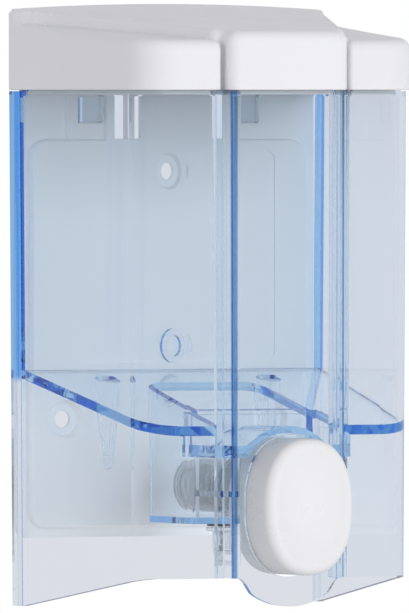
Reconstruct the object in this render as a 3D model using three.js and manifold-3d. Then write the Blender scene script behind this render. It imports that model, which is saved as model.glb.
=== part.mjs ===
// Wall mounted soap dispenser with a clear tank, a lift-off lid and a push button pump.
// Millimetres, +Z up. The origin is on the rear face of the back plate, where it meets the wall.
// The front of the object looks along -Y and +X is the right-hand side of someone who faces it.
// Depths in the constants below are distances out from the wall, so a depth d lies at y = -d.
// Heights are given from the seam between lid and tank, which is SEAM above the origin.
import * as THREE from "three";
import { mergeVertices } from "three/addons/utils/BufferGeometryUtils.js";
import Module from "manifold-3d";

// ---------------------------------------------------------------- dimensions
const SEAM = 62; // height of the lid seam above the origin
const GAP = 0.3; // gap between pieces that touch

// tank, seen from above
const SIDE_SLOPE = 0.09; // the sides close in towards the front
const TANK_SIDE = 47.2; // half width at the wall
const CORNER_R = 14; // front corners
const TANK_FRONT = 70.1; // front of the two wings
const COLUMN_HALF = 17.2; // centre column, half width
const COLUMN_FRONT = 73.3;
const GROOVE_HALF = 18.2; // outer edge of the groove beside the column
const GROOVE_FLOOR = 67.1;
const WALL = 2.5;
const BACK_WALL_REAR = 3.5; // rear face of the tank's back wall
const BACK_WALL = 2.5;
const FLANGE_HALF = 47.9; // strip along the wall, a little wider than the tank
const FLANGE_FRONT = 4.3;
const FLANGE_REAR = 0.5;
const PLATE_BAY_HALF = 45.3; // the hollow behind the tank that takes the back plate
const SKIRT_REAR = -139.9; // lower edge, back corners
const SKIRT_SIDE_FRONT = -132.3; // lower edge, front corners
const SKIRT_FRONT = -131.2;
const APRON_LOW = -138.9; // lowest point of the apron under the button
const FLOOR_AT_WALL = -74.75; // top of the tank floor, carried back to the wall
const FLOOR_SLOPE = 0.227; // it falls towards the front
const FLOOR_THICK = 2.6;
const STEP_HALF = 19.4; // the floor is lower beside the button housing
const STEP_WALL = 1.5;
const STEP_REAR = 50.0;
const STEP_TOP = -95.6;
const STEP_UNDER = -98.8;
const VAULT_Z = -107.1; // arch over the button
const VAULT_OUTER = 16.8;
const VAULT_INNER = 14.95;
const RIM_UP = 3.0; // the tank's rim inside the lid
const RIM_STEP = 1.65;

// well in the tank floor that holds the pump
const WELL_HALF = 18.4;
const WELL_REAR = 18.7;
const WELL_FRONT = 50.0;
const WELL_WALL = 2.0;
const WELL_UNDER = -117.0;
const WELL_FLOOR = 1.8;

// lid
const LID_SIDE = 48.0;
const LID_OVER = 0.8; // overhang over the tank
const LID_COLUMN_HALF = 18.0;
const LID_COLUMN_FRONT = 74.1;
const LID_GROOVE_HALF = 19.3;
const LID_GROOVE_FLOOR = 67.9;
const LID_REAR = 0.6;
const LID_WALL = 1.8;
const WING_TOP_REAR = 18.4;
const WING_TOP_SLOPE = 0.07;
const CREST_REAR = 23.5; // raised centre of the lid
const CREST_SLOPE = 0.104;
const CREST_HALF_REAR = 47.8;
const CREST_TAPER = 0.4095;
const LID_LIP_DOWN = -1.2;
const BOSS_X = 24.3;
const BOSS_DEPTH = 14.0;
const LID_BACK_EDGE = 12.8; // the lid's rear wall starts above the back plate

// back plate
const PLATE_HALF = 44.6;
const PLATE_BOTTOM = -121.5;
const PLATE_TOP = 12.0;
const PLATE_THICK = 2.0;
const PANEL_HALF = 41.4;
const PANEL_TOP = -13.4;
const PANEL_THICK = 3.2;
const TOWER_HALF = 19.0;
const TONGUE_SLOT_IN = 12.2;
const TONGUE_SLOT_OUT = 16.4;
const TONGUE_ROOT = -13.2;
const HOOK_IN = 20.2;
const HOOK_OUT = 26.4;
const HOOK_TOP = -2.0;
const HOOK_SEAT = -9.0;
const HOOK_LOW = -12.0;
const SCREW_TOP = -22.1;
const SCREW_LOW_X = 31.0;
const SCREW_LOW = -89.4;
const SCREW_R = 2.3;
const SCREW_DISH_R = 5.6;

// button
const BUTTON_HALF_W = 13.2;
const BUTTON_HALF_H = 18.4;
const BUTTON_Z = -111.9;
const BUTTON_POWER = 2.3;
const BUTTON_REAR = 64.0;
const BUTTON_EDGE = 85.6;
const BUTTON_FACE = 88.0;
const BUTTON_WALL = 2.0;
const BUTTON_PLAY = 1.0; // gap between the button and the column

// pump, along the depth, about the axis x = 0, height PUMP_Z
const PUMP_Z = -107.2;
const BORE_R = 5.8;
const CYLINDER_R = 7.2;
const CYLINDER_REAR = 23.4;
const CYLINDER_FRONT = 53.4;
const FLANGE_R = 10.3;
const ROD_R = 3.0;
const PORT_DEPTH = 33.3; // depth of the outlet and the nozzle
const NOZZLE_LOW = -128.8;

// ---------------------------------------------------------------- solids
const wasm = await Module();
wasm.setup();

// A closed geometry as a solid. Triangles that collapse on an axis are dropped, and a body that came out reversed is turned.
function solid(geometry) {
  const g = geometry.clone();
  for (const name of ["normal", "uv"]) g.deleteAttribute(name);
  const merged = mergeVertices(g, 1e-4);
  const index = merged.index.array;
  const keep = [];
  for (let i = 0; i < index.length; i += 3) {
    const [a, b, c] = [index[i], index[i + 1], index[i + 2]];
    if (a !== b && b !== c && c !== a) keep.push(a, b, c);
  }
  const make = (tri) =>
    new wasm.Manifold(
      new wasm.Mesh({
        numProp: 3,
        vertProperties: new Float32Array(merged.attributes.position.array),
        triVerts: new Uint32Array(tri),
      }),
    );
  let made = make(keep);
  if (made.volume() < 0) {
    const turned = [];
    for (let i = 0; i < keep.length; i += 3)
      turned.push(keep[i], keep[i + 2], keep[i + 1]);
    made = make(turned);
  }
  return made;
}

const shapeOf = (points) =>
  new THREE.Shape(points.map(([a, b]) => new THREE.Vector2(a, b)));
const flat = (points, depth) =>
  new THREE.ExtrudeGeometry(shapeOf(points), {
    depth,
    steps: 1,
    bevelEnabled: false,
  });

// Upright prism over plan points [x, depth], between two heights above the seam.
function upright(points, low, high) {
  const g = flat(
    points.map(([x, d]) => [x, -d]),
    high - low,
  );
  return solid(g.translate(0, 0, SEAM + low));
}
// Prism along the depth over points [x, height], between two depths.
function inward(points, near, far) {
  const g = flat(points, far - near);
  g.rotateX(Math.PI / 2); // (x, y, z) goes to (x, -z, y)
  return solid(g.translate(0, -near, SEAM));
}
// Prism across the object over points [depth, height], between two x.
function across(points, left, right) {
  const g = flat(points, right - left);
  // (depth, height, z) goes to (x = z, y = -depth, z = height)
  const m = new THREE.Matrix4().makeBasis(
    new THREE.Vector3(0, -1, 0),
    new THREE.Vector3(0, 0, 1),
    new THREE.Vector3(1, 0, 0),
  );
  g.applyMatrix4(m);
  return solid(g.translate(left, 0, SEAM));
}
const block = (x0, x1, d0, d1, z0, z1) =>
  upright(
    [
      [x0, d0],
      [x1, d0],
      [x1, d1],
      [x0, d1],
    ],
    z0,
    z1,
  );
// Body of revolution about the pump axis. The profile is [radius, depth].
function turned(profile, segments = 32, height = PUMP_Z) {
  const g = new THREE.LatheGeometry(
    profile.map(([r, d]) => new THREE.Vector2(r, -d)),
    segments,
  );
  return solid(g.translate(0, 0, SEAM + height));
}
// Body of revolution about an upright axis at x, depth. The profile is [radius, height].
function spun(profile, x, depth, segments = 32) {
  const g = new THREE.LatheGeometry(
    profile.map(([r, z]) => new THREE.Vector2(r, z)),
    segments,
  );
  g.rotateX(Math.PI / 2);
  return solid(g.translate(x, -depth, SEAM));
}
const ring = (r0, r1, a, b) => [
  [r0, a],
  [r1, a],
  [r1, b],
  [r0, b],
  [r0, a],
];
const disc = (r, a, b) => [
  [0, a],
  [r, a],
  [r, b],
  [0, b],
];
// O-ring: a round section swept about the axis.
function roundRing(middle, thick, at, sides = 8) {
  const out = [];
  for (let i = 0; i <= sides; i++) {
    const a = (2 * Math.PI * (i % sides)) / sides;
    out.push([middle + thick * Math.cos(a), at + thick * Math.sin(a)]);
  }
  return out;
}
const both = (points) => [
  ...points,
  ...points
    .slice()
    .reverse()
    .map(([x, d]) => [-x, d]),
];

// Plan of the tank or lid: straight sides closing in to the front, round front corners, two wings and a centre column
// with a narrow groove on each side. inset moves every wall inwards.
function plan(p, inset, rear) {
  const k = Math.hypot(1, SIDE_SLOPE);
  const side = p.side - inset * k;
  const radius = p.corner - inset;
  const front = p.front - inset;
  const cy = p.front - p.corner;
  const cx = p.side - SIDE_SLOPE * cy - p.corner * k;
  const a0 = Math.atan2(SIDE_SLOPE, 1);
  const right = [[side - SIDE_SLOPE * rear, rear]];
  const steps = 8;
  for (let i = 0; i <= steps; i++) {
    const a = a0 + ((Math.PI / 2 - a0) * i) / steps;
    right.push([cx + radius * Math.cos(a), cy + radius * Math.sin(a)]);
  }
  right.push([p.groove + inset, front]);
  right.push([p.groove + inset, p.grooveFloor - inset]);
  right.push([p.column - inset, p.grooveFloor - inset]);
  right.push([p.column - inset, p.columnFront - inset - 1.2]);
  right.push([p.column - inset - 0.35, p.columnFront - inset - 0.35]);
  right.push([p.column - inset - 1.2, p.columnFront - inset]);
  return both(right);
}
const TANK_PLAN = {
  side: TANK_SIDE,
  corner: CORNER_R,
  front: TANK_FRONT,
  groove: GROOVE_HALF,
  grooveFloor: GROOVE_FLOOR,
  column: COLUMN_HALF,
  columnFront: COLUMN_FRONT,
};
const LID_PLAN = {
  side: LID_SIDE,
  corner: CORNER_R + LID_OVER,
  front: TANK_FRONT + LID_OVER,
  groove: LID_GROOVE_HALF,
  grooveFloor: LID_GROOVE_FLOOR,
  column: LID_COLUMN_HALF,
  columnFront: LID_COLUMN_FRONT,
};

// Oval with square shoulders, the outline of the button.
function oval(halfW, halfH, centre, count = 40) {
  const out = [];
  for (let i = 0; i < count; i++) {
    const a = (2 * Math.PI * i) / count;
    const c = Math.cos(a),
      s = Math.sin(a);
    out.push([
      halfW * Math.sign(c) * Math.abs(c) ** (2 / BUTTON_POWER),
      centre + halfH * Math.sign(s) * Math.abs(s) ** (2 / BUTTON_POWER),
    ]);
  }
  return out;
}
const floorTop = (d) => FLOOR_AT_WALL - FLOOR_SLOPE * d;

// A wire wound about the depth axis or the upright axis.
class Coil extends THREE.Curve {
  constructor(radius, start, end, turns, place) {
    super();
    Object.assign(this, { radius, start, end, turns, place });
  }
  getPoint(t, out = new THREE.Vector3()) {
    // the first and last turn lie nearly flat
    const lead = 0.8 / this.turns;
    const pitchT =
      t < lead
        ? (t * t) / (2 * lead)
        : t > 1 - lead
          ? 1 - lead - ((1 - t) * (1 - t)) / (2 * lead)
          : t - lead / 2;
    const along =
      this.start + ((this.end - this.start) * pitchT) / (1 - lead);
    const a = 2 * Math.PI * this.turns * t;
    return this.place(
      out,
      this.radius * Math.cos(a),
      this.radius * Math.sin(a),
      along,
    );
  }
}
function coil(radius, wire, start, end, turns, steps, sides, place) {
  const section = [];
  for (let i = 0; i < sides; i++) {
    const a = (2 * Math.PI * i) / sides;
    section.push([wire * Math.cos(a), wire * Math.sin(a)]);
  }
  return solid(
    new THREE.ExtrudeGeometry(shapeOf(section), {
      steps,
      bevelEnabled: false,
      extrudePath: new Coil(radius, start, end, turns, place),
    }),
  );
}

// ---------------------------------------------------------------- materials and scene
const material = (color, roughness, metalness = 0, opacity = 1) =>
  new THREE.MeshStandardMaterial({
    color,
    roughness,
    metalness,
    opacity,
    transparent: opacity < 1,
  });
const WHITE = material(0xdcdde1, 0.38);
const PLATE_WHITE = material(0xe2e3e6, 0.45);
const CLEAR_BLUE = material(0x9fc0e6, 0.06, 0, 0.35);
const NATURAL = material(0xe6e9ea, 0.35, 0, 0.7);
const RUBBER = material(0x2b2d30, 0.7);
const SILICONE = material(0xcfd3d6, 0.6);
const STEEL = material(0xb9bcc0, 0.25, 1);

const dispenser = new THREE.Group();
dispenser.name = "soap_dispenser";
function piece(name, made, finish, parent = dispenser) {
  const m = made.getMesh();
  const n = m.numProp;
  const v = new Float32Array(m.numVert * 3);
  for (let i = 0; i < m.numVert; i++)
    v.set(m.vertProperties.subarray(i * n, i * n + 3), i * 3);
  const g = new THREE.BufferGeometry()
    .setAttribute("position", new THREE.BufferAttribute(v, 3))
    .setIndex(new THREE.BufferAttribute(m.triVerts, 1));
  g.computeVertexNormals();
  const mesh = new THREE.Mesh(g, finish);
  mesh.name = name;
  parent.add(mesh);
  return mesh;
}
const group = (name) => {
  const g = new THREE.Group();
  g.name = name;
  dispenser.add(g);
  return g;
};
const wallUnit = group("wall_unit");
const tankGroup = group("tank");
const pumpGroup = group("pump");
const buttonGroup = group("button");
const lidGroup = group("lid_unit");

// ---------------------------------------------------------------- back plate
{
  const rounded = (half, low, high, r) => {
    const out = [];
    for (const [cx, cz, a0] of [
      [half - r, high - r, 0],
      [-half + r, high - r, 90],
      [-half + r, low + r, 180],
      [half - r, low + r, 270],
    ])
      for (let i = 0; i <= 4; i++) {
        const a = ((a0 + i * 22.5) * Math.PI) / 180;
        out.push([cx + r * Math.cos(a), cz + r * Math.sin(a)]);
      }
    return out;
  };
  let plate = inward(
    rounded(PLATE_HALF, PLATE_BOTTOM, PLATE_TOP, 3),
    0,
    PLATE_THICK,
  );
  plate = plate.add(
    inward(
      rounded(PANEL_HALF, PLATE_BOTTOM + 2.5, PANEL_TOP, 5),
      0.5,
      PANEL_THICK,
    ),
  );
  plate = plate.add(
    block(
      -TOWER_HALF,
      TOWER_HALF,
      0.5,
      PANEL_THICK,
      PANEL_TOP - 1,
      PLATE_TOP - 0.8,
    ),
  );
  // pockets for the tank's hooks: open at the top, with a thin ledge in front at the bottom
  for (const s of [-1, 1]) {
    const [a, b] = [s * (HOOK_IN - 0.6), s * (HOOK_OUT + 0.6)].sort(
      (p, q) => p - q,
    );
    plate = plate.subtract(block(a, b, -1, 5, HOOK_SEAT, PLATE_TOP + 1));
    plate = plate.subtract(
      block(a, b, -1, 1.85, HOOK_LOW - 1, HOOK_SEAT + 1),
    );
    // slots that free the centre tongue
    const [c, d] = [s * TONGUE_SLOT_IN, s * TONGUE_SLOT_OUT].sort(
      (p, q) => p - q,
    );
    plate = plate.subtract(block(c, d, -1, 5, TONGUE_ROOT, PLATE_TOP + 1));
  }
  // countersunk screw holes
  const screw = (x, z) =>
    turned(
      [
        [0, -1],
        [SCREW_R, -1],
        [SCREW_R, 1.0],
        [SCREW_DISH_R - 1.4, 1.3],
        [SCREW_DISH_R, PANEL_THICK + 0.5],
        [0, PANEL_THICK + 0.5],
      ],
      24,
      z,
    ).translate(x, 0, 0);
  for (const [x, z] of [
    [0, SCREW_TOP],
    [-SCREW_LOW_X, SCREW_LOW],
    [SCREW_LOW_X, SCREW_LOW],
  ])
    plate = plate.subtract(screw(x, z));
  piece("back_plate", plate, PLATE_WHITE, wallUnit);
}

// ---------------------------------------------------------------- tank
{
  const low = -145;
  // the outline, with the strip along the wall a little wider than the sides
  const sides = plan(TANK_PLAN, 0, FLANGE_FRONT);
  let tank = upright(
    [
      [FLANGE_HALF, FLANGE_REAR],
      [FLANGE_HALF, FLANGE_FRONT],
      ...sides,
      [-FLANGE_HALF, FLANGE_FRONT],
      [-FLANGE_HALF, FLANGE_REAR],
    ],
    low,
    -GAP,
  );
  // inner rim that stands up inside the lid, cut back beside the column to clear the lid's groove walls
  const rimPlan = { ...TANK_PLAN, groove: LID_GROOVE_HALF + LID_WALL - RIM_STEP + 0.5 };
  tank = tank.add(
    upright(plan(rimPlan, RIM_STEP, BACK_WALL_REAR + GAP), -2, RIM_UP),
  );
  // bay for the back plate, behind the back wall
  tank = tank.subtract(
    block(-PLATE_BAY_HALF, PLATE_BAY_HALF, -2, BACK_WALL_REAR, low - 1, 10),
  );
  // soap space above the sloping floor
  const inside = (inset, rear, lowZ, highZ) =>
    upright(plan(TANK_PLAN, inset, rear), lowZ, highZ);
  const soap = inside(WALL, BACK_WALL_REAR + BACK_WALL, -120, 20).intersect(
    across(
      [
        [-5, floorTop(-5)],
        [90, floorTop(90)],
        [90, 30],
        [-5, 30],
      ],
      -60,
      60,
    ),
  );
  tank = tank.subtract(soap);
  // open space under the floor, inside the skirt
  const under = inside(WALL, -2, low - 1, 0).intersect(
    across(
      [
        [-5, floorTop(-5) - FLOOR_THICK],
        [90, floorTop(90) - FLOOR_THICK],
        [90, low - 2],
        [-5, low - 2],
      ],
      -60,
      60,
    ),
  );
  const floorSpan = block(
    -PLATE_BAY_HALF,
    PLATE_BAY_HALF,
    -2,
    BACK_WALL_REAR + BACK_WALL + 0.5,
    low - 1,
    floorTop(6) - FLOOR_THICK,
  );
  tank = tank.subtract(under).subtract(floorSpan);
  // lower floor beside the button housing
  const inColumn = inside(WALL - 0.6, -2, -130, 0);
  tank = tank.add(
    block(
      -STEP_HALF - STEP_WALL,
      STEP_HALF + STEP_WALL,
      STEP_REAR,
      72,
      STEP_UNDER,
      floorTop(60),
    ).intersect(inColumn),
  );
  tank = tank.subtract(
    inside(WALL, STEP_REAR + WELL_WALL, STEP_TOP, -60).intersect(
      block(-STEP_HALF, STEP_HALF, STEP_REAR, 71, STEP_TOP, -60),
    ),
  );
  // pump well
  tank = tank.add(
    block(
      -WELL_HALF,
      WELL_HALF,
      WELL_REAR,
      WELL_FRONT + WELL_WALL,
      WELL_UNDER,
      floorTop(WELL_FRONT) - 0.5,
    ).add(
      block(
        -WELL_HALF,
        WELL_HALF,
        WELL_REAR,
        WELL_FRONT,
        floorTop(WELL_FRONT) - 1,
        floorTop(WELL_REAR) - 2.0,
      ).intersect(
        across(
          [
            [0, floorTop(0) - 1],
            [80, floorTop(80) - 1],
            [80, -120],
            [0, -120],
          ],
          -30,
          30,
        ),
      ),
    ),
  );
  tank = tank.subtract(
    block(
      -WELL_HALF + WELL_WALL,
      WELL_HALF - WELL_WALL,
      WELL_REAR + WELL_WALL,
      WELL_FRONT,
      WELL_UNDER + WELL_FLOOR,
      -60,
    ),
  );
  // arch over the button, and the space under it
  const arch = (r, d0, d1) => {
    const pts = [];
    for (let i = 0; i <= 20; i++) {
      const a = (Math.PI * i) / 20;
      pts.push([r * Math.cos(a), VAULT_Z + r * Math.sin(a)]);
    }
    pts.push([-r, -131], [r, -131]);
    return inward(pts, d0, d1);
  };
  tank = tank.add(
    arch(VAULT_OUTER, WELL_FRONT + 0.5, 71.5)
      .intersect(block(-25, 25, 0, 80, STEP_UNDER + 0.4, -60))
      .intersect(inColumn),
  );
  tank = tank.subtract(arch(VAULT_INNER, WELL_FRONT + WELL_WALL, 70.8));
  // opening for the button in the column front
  tank = tank.subtract(
    inward(
      oval(
        BUTTON_HALF_W + BUTTON_PLAY,
        BUTTON_HALF_H + BUTTON_PLAY,
        BUTTON_Z,
      ),
      66,
      80,
    ),
  );
  // bore for the pump in the well front, and for the nozzle in the well floor
  tank = tank.subtract(
    turned(disc(CYLINDER_R + GAP, WELL_FRONT - 3, WELL_FRONT + 5), 32),
  );
  tank = tank.subtract(
    spun(disc(2.4, WELL_UNDER - 2, WELL_UNDER + 4), 0, PORT_DEPTH, 20),
  );
  // lower edge: level at the front, deeper towards the wall, with the apron under the button
  tank = tank.subtract(
    across(
      [
        [-5, SKIRT_REAR],
        [4.5, SKIRT_REAR],
        [57, SKIRT_SIDE_FRONT],
        [66, SKIRT_FRONT],
        [90, SKIRT_FRONT],
        [90, low - 3],
        [-5, low - 3],
      ],
      -60,
      -16,
    ),
  );
  tank = tank.subtract(
    across(
      [
        [-5, SKIRT_REAR],
        [4.5, SKIRT_REAR],
        [57, SKIRT_SIDE_FRONT],
        [66, SKIRT_FRONT],
        [90, SKIRT_FRONT],
        [90, low - 3],
        [-5, low - 3],
      ],
      16,
      60,
    ),
  );
  const apron = [
    [-16.2, low - 3],
    [-16.2, SKIRT_FRONT],
  ];
  const apronR = 21.8;
  for (let i = 0; i <= 12; i++) {
    const x = -15.6 + (31.2 * i) / 12;
    apron.push([x, APRON_LOW + apronR - Math.sqrt(apronR * apronR - x * x)]);
  }
  apron.push([16.2, SKIRT_FRONT], [16.2, low - 3]);
  tank = tank.subtract(inward(apron, -5, 90));
  // hooks on the rear of the back wall
  for (const s of [-1, 1]) {
    const [a, b] = [s * HOOK_IN, s * HOOK_OUT].sort((p, q) => p - q);
    tank = tank.add(
      across(
        [
          [BACK_WALL_REAR + 0.5, HOOK_TOP],
          [0.5, HOOK_TOP],
          [0.5, HOOK_LOW],
          [1.55, HOOK_LOW],
          [1.55, HOOK_SEAT + GAP],
          [BACK_WALL_REAR + 0.5, HOOK_SEAT + GAP],
        ],
        a,
        b,
      ),
    );
    // tapered bosses that hang under the floor
    tank = tank.add(
      spun(
        [
          [0, floorTop(BOSS_DEPTH) - 1.2],
          [3.6, floorTop(BOSS_DEPTH) - 1.2],
          [3.3, -84],
          [1.2, -103],
          [0, -103],
        ],
        s * BOSS_X,
        BOSS_DEPTH,
        16,
      ),
    );
    // each boss is cored from above
    tank = tank.subtract(
      spun(
        [
          [0, -99],
          [0.6, -99],
          [2.1, -84],
          [2.7, floorTop(BOSS_DEPTH) + 3],
          [0, floorTop(BOSS_DEPTH) + 3],
        ],
        s * BOSS_X,
        BOSS_DEPTH,
        14,
      ),
    );
  }
  // locating ring on the front of the back wall
  tank = tank.add(
    turned(
      ring(
        2.9,
        4.7,
        BACK_WALL_REAR + BACK_WALL - 0.8,
        BACK_WALL_REAR + BACK_WALL + 1.6,
      ),
      24,
      -69.6,
    ),
  );
  piece("tank_body", tank, CLEAR_BLUE, tankGroup);
}

// ---------------------------------------------------------------- pump
// cylinder with a flange at the front and an outlet hole in its underside
{
  let cylinder = turned(
    [
      [BORE_R, CYLINDER_REAR],
      [CYLINDER_R, CYLINDER_REAR],
      [CYLINDER_R, WELL_FRONT + WELL_WALL + 1.6],
      [FLANGE_R, WELL_FRONT + WELL_WALL + 1.6],
      [FLANGE_R, CYLINDER_FRONT + 2],
      [BORE_R, CYLINDER_FRONT + 2],
      [BORE_R, CYLINDER_REAR],
    ],
    36,
  );
  cylinder = cylinder.subtract(
    spun(disc(2.3, PUMP_Z - 9, PUMP_Z - 4), 0, PORT_DEPTH, 20),
  );
  piece("pump_cylinder", cylinder, NATURAL, pumpGroup);
  piece(
    "pump_gasket",
    turned(
      ring(
        CYLINDER_R + GAP,
        FLANGE_R,
        WELL_FRONT + WELL_WALL + GAP,
        WELL_FRONT + WELL_WALL + 1.3,
      ),
      32,
    ),
    RUBBER,
    pumpGroup,
  );
  // six-sided nut inside the well
  const hex = [];
  for (let i = 0; i < 6; i++) {
    const a = (Math.PI * i) / 3;
    hex.push([11.4 * Math.cos(a), PUMP_Z + 11.4 * Math.sin(a)]);
  }
  piece(
    "pump_nut",
    inward(hex, WELL_FRONT - 3.2, WELL_FRONT - GAP)
      .intersect(
        block(-20, 20, 0, 80, WELL_UNDER + WELL_FLOOR + 0.5, PUMP_Z + 20),
      )
      .subtract(
        turned(disc(CYLINDER_R + GAP, WELL_FRONT - 6, WELL_FRONT + 3), 32),
      ),
    WHITE,
    pumpGroup,
  );
}
// inlet: end cap with a ball seat and a slotted cage
{
  let cap = turned(
    [
      [1.3, 21.3],
      [CYLINDER_R, 21.3],
      [CYLINDER_R, 23.1],
      [5.5, 23.1],
      [5.5, 23.6],
      [4.6, 23.6],
      [4.6, 24.8],
      [5.5, 24.8],
      [5.5, 26.0],
      [4.0, 26.0],
      [4.0, 30.4],
      [1.2, 30.4],
      [1.2, 29.6],
      [2.5, 29.6],
      [2.5, 24.4],
      [1.3, 24.4],
      [1.3, 21.3],
    ],
    32,
  );
  cap = cap
    .subtract(block(-0.8, 0.8, 27.4, 32, PUMP_Z - 6, PUMP_Z + 6))
    .subtract(block(-6, 6, 27.4, 32, PUMP_Z - 0.8, PUMP_Z + 0.8));
  piece("inlet_valve_cap", cap, NATURAL, pumpGroup);
  piece(
    "inlet_o_ring",
    turned(ring(4.9, 5.6, 23.85, 24.55), 28),
    RUBBER,
    pumpGroup,
  );
  const ball = new THREE.SphereGeometry(2.0, 16, 12);
  piece(
    "inlet_ball",
    solid(ball.translate(0, -26.05, SEAM + PUMP_Z)),
    STEEL,
    pumpGroup,
  );
}
// front guide of the rod, with its ring seal in a counterbore
{
  piece(
    "rod_guide",
    turned(
      [
        [ROD_R + GAP, CYLINDER_FRONT + 3.6],
        [CYLINDER_R + 1, CYLINDER_FRONT + 3.6],
        [CYLINDER_R + 1, CYLINDER_FRONT + 2.3],
        [5.5, CYLINDER_FRONT + 2.3],
        [5.5, 47.3],
        [4.9, 47.3],
        [4.9, 49.2],
        [ROD_R + GAP, 49.2],
        [ROD_R + GAP, CYLINDER_FRONT + 3.6],
      ],
      32,
    ),
    WHITE,
    pumpGroup,
  );
  piece(
    "rod_seal",
    turned(roundRing(3.95, 0.62, 48.2), 24),
    RUBBER,
    pumpGroup,
  );
}
// nozzle under the well: a spigot into the cylinder, a spring valve and the spout
{
  piece(
    "nozzle_body",
    spun(
      [
        [0.8, -113.6],
        [1.95, -113.6],
        [1.95, -118.4],
        [4.4, -118.4],
        [4.4, -119.4],
        [2.7, -119.4],
        [2.7, -124.4],
        [1.75, -124.4],
        [1.75, -119.6],
        [0.8, -119.6],
        [0.8, -113.6],
      ],
      0,
      PORT_DEPTH,
      24,
    ),
    NATURAL,
    pumpGroup,
  );
  piece(
    "nozzle_seal",
    spun(ring(2.5, 4.2, -118.1, -117.3), 0, PORT_DEPTH, 24),
    RUBBER,
    pumpGroup,
  );
  piece(
    "nozzle_tip",
    spun(
      [
        [0.8, -123.2],
        [1.45, -123.2],
        [1.45, -124.7],
        [2.5, -124.7],
        [2.5, -125.6],
        [1.6, -125.9],
        [1.6, NOZZLE_LOW + 1.4],
        [2.1, NOZZLE_LOW + 1.2],
        [2.1, NOZZLE_LOW],
        [0.8, NOZZLE_LOW],
        [0.8, -123.2],
      ],
      0,
      PORT_DEPTH,
      24,
    ),
    WHITE,
    pumpGroup,
  );
  const ball = new THREE.SphereGeometry(1.3, 14, 10);
  piece(
    "outlet_ball",
    solid(ball.translate(0, -PORT_DEPTH, SEAM - 120.7)),
    STEEL,
    pumpGroup,
  );
  piece(
    "outlet_spring",
    coil(0.95, 0.2, -122.85, -122.05, 2, 24, 5, (out, a, b, along) =>
      out.set(a, -PORT_DEPTH + b, SEAM + along),
    ),
    STEEL,
    pumpGroup,
  );
}

// ---------------------------------------------------------------- button, plunger and return spring
{
  // outer skin: straight sides, then a crowned face in three rings
  const skin = (inset, rear, face, edge) => {
    let made = inward(
      oval(BUTTON_HALF_W - inset, BUTTON_HALF_H - inset, BUTTON_Z),
      rear,
      edge,
    );
    for (const [share, shrink] of [
      [0.55, 0.93],
      [0.85, 0.78],
      [1.0, 0.5],
    ])
      made = made.add(
        inward(
          oval(
            (BUTTON_HALF_W - inset) * shrink,
            (BUTTON_HALF_H - inset) * shrink,
            BUTTON_Z,
          ),
          edge - 1,
          edge + (face - edge) * share,
        ),
      );
    return made;
  };
  let button = skin(0, BUTTON_REAR, BUTTON_FACE, BUTTON_EDGE);
  button = button.subtract(
    inward(
      oval(
        BUTTON_HALF_W - BUTTON_WALL,
        BUTTON_HALF_H - BUTTON_WALL,
        BUTTON_Z,
      ),
      BUTTON_REAR - 1,
      BUTTON_EDGE - BUTTON_WALL,
    ),
  );
  // socket for the rod
  button = button.add(
    turned(ring(ROD_R + GAP, 5.2, 70.0, BUTTON_EDGE - 1.5), 28),
  );
  piece("push_button", button, WHITE, buttonGroup);
  piece(
    "plunger",
    turned(
      [
        [0, 43.4],
        [5.45, 43.4],
        [5.45, 44.2],
        [3.6, 44.2],
        [3.6, 45.8],
        [5.45, 45.8],
        [5.45, 46.6],
        [ROD_R, 46.6],
        [ROD_R, 82.6],
        [ROD_R - 0.6, 83.2],
        [0, 83.2],
      ],
      32,
    ),
    NATURAL,
    buttonGroup,
  );
  piece(
    "piston_seal",
    turned(
      [
        [3.9, 44.5],
        [5.0, 44.5],
        [5.6, 44.7],
        [5.6, 45.3],
        [5.0, 45.5],
        [3.9, 45.5],
        [3.9, 44.5],
      ],
      28,
    ),
    RUBBER,
    buttonGroup,
  );
  piece(
    "return_spring",
    coil(4.9, 0.38, 26.75, 42.7, 7, 98, 6, (out, a, b, along) =>
      out.set(a, -along, SEAM + PUMP_Z + b),
    ),
    STEEL,
    pumpGroup,
  );
}

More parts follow.
